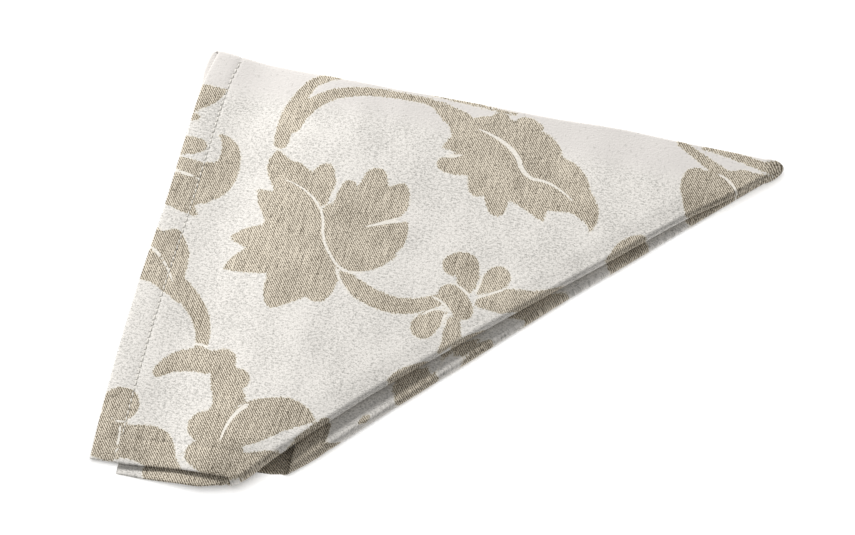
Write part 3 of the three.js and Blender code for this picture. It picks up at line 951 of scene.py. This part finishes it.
# The twill of the figures and the floats of the ground
TWILL_ACROSS = 0.00126
TWILL_DOWN = 0.00152
TURN_ROUND = 2 * math.pi
TWILL_SWAY = 3.0  # radians that noise moves the twill's lines by
FIGURE_WANDER = 0.0022  # noise moves the figures' edges by this, and the veins' by the next
VEIN_WANDER = 0.0004
FIGURE_SOFT = 0.00012  # half widths of the steps at those edges
VEIN_SOFT = 0.0002
CALM_DOWN = (0.012, 0.028)  # the ground gets livelier between these places down
GROUND_TONE = 0.68  # middle tones between a colour's shade and its light
FIGURE_TONE = 0.51
# where the painted shade of the needle holes lies
HOLE_WIDTH = (0.0003, 0.0010)  # a hole's mark fades between these distances off the seam
HOLE_SLANT = 0.6  # how far a hole's mark leans along the seam for each length across it

linen = Paint("linen")
on_cloth = linen.attribute("on_cloth", "Vector")
figure = linen.attribute("figure")
ragged = linen.noise(linen.stretched(on_cloth, 0.0010, 0.0008), 1.0) - 0.5
figure_edge = figure + ragged * FIGURE_WANDER
brown = 1 - figure_edge.between(-FIGURE_SOFT, FIGURE_SOFT)


def vein_mask(name):
    edges = linen.attribute(name + "_left").larger(linen.attribute(name + "_right"))
    return 1 - (edges + ragged * VEIN_WANDER).between(-VEIN_SOFT, VEIN_SOFT)


pale_vein = vein_mask("vein").larger(vein_mask("branch"))
brown = brown * (1 - pale_vein)
halo = 1 - figure_edge.between(0.0001, 0.0007)
rim = figure_edge.between(-0.0007, -0.0002)

across_part = linen.node("ShaderNodeSeparateXYZ", None, {0: on_cloth})
down_part = linen.node("ShaderNodeSeparateXYZ", None, {0: on_cloth}, output=1)
sway = linen.noise(linen.stretched(on_cloth, 0.006, 0.006), 1.0) - 0.5
twill = (across_part * (TURN_ROUND / TWILL_ACROSS) - down_part * (TURN_ROUND / TWILL_DOWN)
         + sway * TWILL_SWAY).sine()
grain = linen.noise(linen.stretched(on_cloth, 0.0008, 0.0007), 2.0, 0.7) - 0.5
weft = linen.noise(linen.stretched(on_cloth, 0.0019, 0.0009), 2.0, 0.6) - 0.5
warp = linen.noise(linen.stretched(on_cloth, 0.0012, 0.012), 2.0, 0.6) - 0.5
cloud = linen.noise(linen.stretched(on_cloth, 0.018, 0.022), 2.0, 0.5) - 0.5
fleck = linen.noise(linen.stretched(on_cloth, 0.0015, 0.0024), 1.0, 0.5).between(0.68, 0.76)

# the ground is smoother along the top fold; the figures are darker towards the low hem, painted
# shade where less light falls there, and darker at the tip
calm = 1 - down_part.between(*CALM_DOWN)
lively = 1 - calm * 0.65
white_tone = GROUND_TONE + (grain * 1.5 + weft * 1.2) * lively + cloud * 0.4
white_colour = linen.colour(white_tone.between(0.0, 1.0), WHITE_SHADE, WHITE_LIGHT)
white_colour = linen.colour(calm * 0.7, white_colour, WHITE_CALM)
white_colour = linen.colour(fleck * 0.35, white_colour, WHITE_SHADE)
white_colour = linen.colour(halo * 0.5, white_colour, RIM_LIGHT)
# painted shade: the figures darken towards the low hem, where less light falls; they darken at the
# tip as well
painted_shade_low_and_tip_darkening = down_part.between(0.13, 0.19) * 0.05 + across_part.between(0.22, 0.25) * 0.06
brown_tone = FIGURE_TONE + twill * 0.32 + grain * 1.7 + warp * 0.55 + cloud * 0.25 - painted_shade_low_and_tip_darkening
brown_colour = linen.colour(brown_tone.between(0.0, 1.0), BROWN_SHADE, BROWN_LIGHT)
brown_colour = linen.colour(rim * 0.35, brown_colour, RIM_SHADE)
brown_colour = linen.colour(fleck * 0.6, brown_colour, SLUB_DARK)

# painted shade in the needle holes between the stitches, drawn out askew of the seam
off_seam = linen.attribute("margin") - STITCH_IN
hole_turns = (linen.attribute("along") + off_seam * HOLE_SLANT) * (TURN_ROUND / STITCH_PITCH)
hole_shade = (1 - off_seam.size().between(*HOLE_WIDTH)) * (
    (hole_turns + math.pi / 2).sine().between(0.45, 0.95))
base = linen.colour(brown, white_colour, brown_colour)
fainter = linen.attribute("along").between(LOW_HEM_START / 2, LOW_HEM_START * 0.6)
# the needle holes get painted shade, fainter along the low hem
base = linen.colour(hole_shade * (0.6 - fainter * 0.5), base, NEEDLE_HOLE_SHADE)
weave_height = grain * 0.5 + weft * 0.5 + twill * brown * 0.3
linen.set(Base_Color=base, Roughness=0.9, Sheen_Weight=0.12, Sheen_Roughness=0.5,
          Specular_IOR_Level=0.2, Normal=linen.bump(weave_height, 0.00035, 0.7))
cloth.data.materials.append(linen.material)

thread = Paint("thread")
thread_place = thread.node("ShaderNodeTexCoord", output=3)
thread_ply = thread.noise(thread.stretched(thread_place, 0.0004, 0.0004), 1.0)
thread.set(Base_Color=thread.colour(thread_ply, THREAD_SHADE, THREAD_LIGHT), Roughness=0.8,
           Normal=thread.bump(thread_ply, 0.0001, 0.6))
stitches.data.materials.append(thread.material)

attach(cloth, "root")
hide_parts("napkin")
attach(stitches, "root")

# The floor and the light
FLOOR_HALF = 3.0
ROOM_LIGHT = 0.38
floor = add_object(
    "floor",
    [(-FLOOR_HALF, -FLOOR_HALF, 0), (FLOOR_HALF, -FLOOR_HALF, 0), (FLOOR_HALF, FLOOR_HALF, 0),
     (-FLOOR_HALF, FLOOR_HALF, 0)], [(0, 1, 2, 3)], rounded=False)
floor_paint = Paint("floor")
floor_paint.set(Base_Color=(0.93, 0.93, 0.93, 1), Roughness=0.9,
                Emission_Color=(1, 1, 1, 1), Emission_Strength=0.08)
floor.data.materials.append(floor_paint.material)

world = bpy.data.worlds.new("room")
bpy.context.scene.world = world
world.use_nodes = True
world.node_tree.nodes["Background"].inputs["Color"].default_value = (1, 1, 1, 1)
world.node_tree.nodes["Background"].inputs["Strength"].default_value = ROOM_LIGHT


def area_light(name, place, size, power, lit):
    """A soft round light aimed at the napkin's middle, which lights only the objects given."""
    light = bpy.data.lights.new(name, "AREA")
    light.shape = "DISK"
    light.size = size
    light.energy = power
    lamp = bpy.data.objects.new(name, light)
    bpy.context.collection.objects.link(lamp)
    lamp.location = place
    lamp.rotation_euler = (-Vector(place)).to_track_quat("-Z", "Y").to_euler()
    receivers = bpy.data.collections.new(name + "_lit")
    for thing in lit:
        receivers.objects.link(thing)
    lamp.light_linking.receiver_collection = receivers


area_light("window", place=(-1.85, 1.85, 1.80), size=0.8, power=132, lit=[cloth, stitches])
area_light("overhead", place=(0.0, 0.0, 1.6), size=2.2, power=30, lit=[floor])

# The camera, at the photograph's angle
AIM_PLAN = (0.1315, 0.0914)  # the plan place that the camera points at
AIM = Vector((AIM_PLAN[0] - PLAN_MIDDLE[0], PLAN_MIDDLE[1] - AIM_PLAN[1], 0.0))
CAMERA_FAR = 1.350
CAMERA_AZIMUTH = math.radians(13.39)
CAMERA_ELEVATION = math.radians(64.03)
CAMERA_LENS = 116.9
back = Vector((math.sin(CAMERA_AZIMUTH) * math.cos(CAMERA_ELEVATION),
               -math.cos(CAMERA_AZIMUTH) * math.cos(CAMERA_ELEVATION),
               math.sin(CAMERA_ELEVATION)))
camera_data = bpy.data.cameras.new("camera")
camera_data.lens = CAMERA_LENS
camera_data.sensor_width = 36
camera_data.clip_start = 0.01
camera_data.clip_end = 20
camera = bpy.data.objects.new("camera", camera_data)
bpy.context.collection.objects.link(camera)
camera.location = AIM + back * CAMERA_FAR
camera.rotation_euler = (-back).to_track_quat("-Z", "Y").to_euler()
bpy.context.scene.camera = camera
bpy.context.scene.view_settings.view_transform = "Standard"
